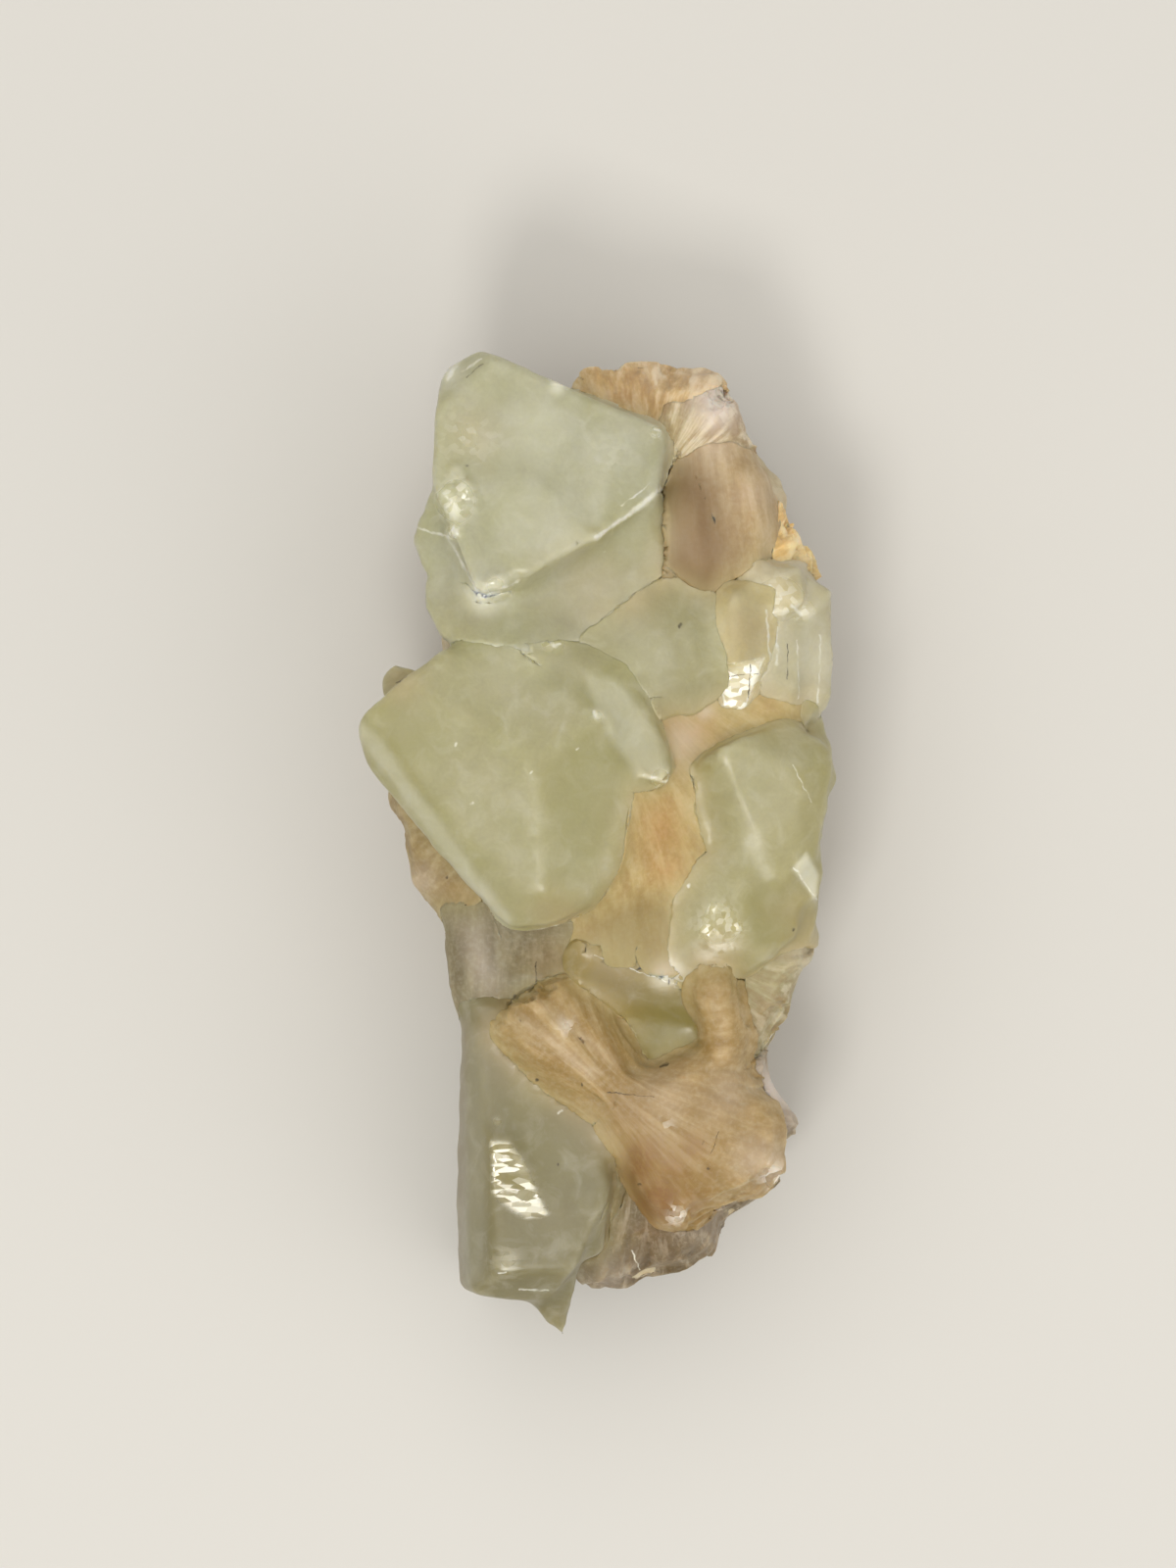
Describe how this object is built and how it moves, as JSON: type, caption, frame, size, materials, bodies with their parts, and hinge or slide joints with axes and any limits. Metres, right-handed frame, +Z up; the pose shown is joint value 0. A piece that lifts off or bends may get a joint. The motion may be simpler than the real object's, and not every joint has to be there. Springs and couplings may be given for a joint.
{
  "type": "apophyllite cluster",
  "caption": "Mineral specimen: pale green blocky apophyllite crystals with peach stilbite sheaves on a pale broken matrix, lying on its flat back.",
  "frame": {"origin": "middle of the bounding box in plan, on the surface that the broken back rests on", "axes": "+Y along the cluster towards the tall crystal, +X across it to the stilbite side, +Z up out of the crystal face"},
  "size_m": [0.049, 0.1008, 0.0394],
  "materials": {
    "apophyllite": "pale green, milky see-through crystal with a glassy to waxy surface",
    "stilbite_peach": "peach zeolite sheaf, pearly, fine radiating blades",
    "stilbite_tan": "tan zeolite sheaf, waxy and half clear",
    "stilbite_cream": "cream zeolite plates, pearly, with a faint mauve cast",
    "matrix": "dull pale rock of fine intergrown zeolite, rough where it broke"
  },
  "bodies": {
    "root": {"matrix": "matrix", "apophyllite_middle": "apophyllite", "apophyllite_upper": "apophyllite", "apophyllite_saddle": "apophyllite", "apophyllite_right": "apophyllite", "apophyllite_shard": "apophyllite", "apophyllite_side_blades": "apophyllite", "apophyllite_lower": "apophyllite", "apophyllite_wedge": "apophyllite", "stilbite_bow_tie": "stilbite_peach", "stilbite_upper_sheaf": "stilbite_tan", "stilbite_crest_fan": "stilbite_tan", "stilbite_white_fan": "stilbite_cream", "stilbite_centre": "stilbite_peach", "stilbite_left_lobe": "stilbite_tan", "stilbite_rim_blades": "stilbite_peach", "stilbite_upright_blades": "stilbite_cream", "stilbite_right_plates": "stilbite_cream", "stilbite_skirt": "stilbite_cream"}
  },
  "joints": []
}
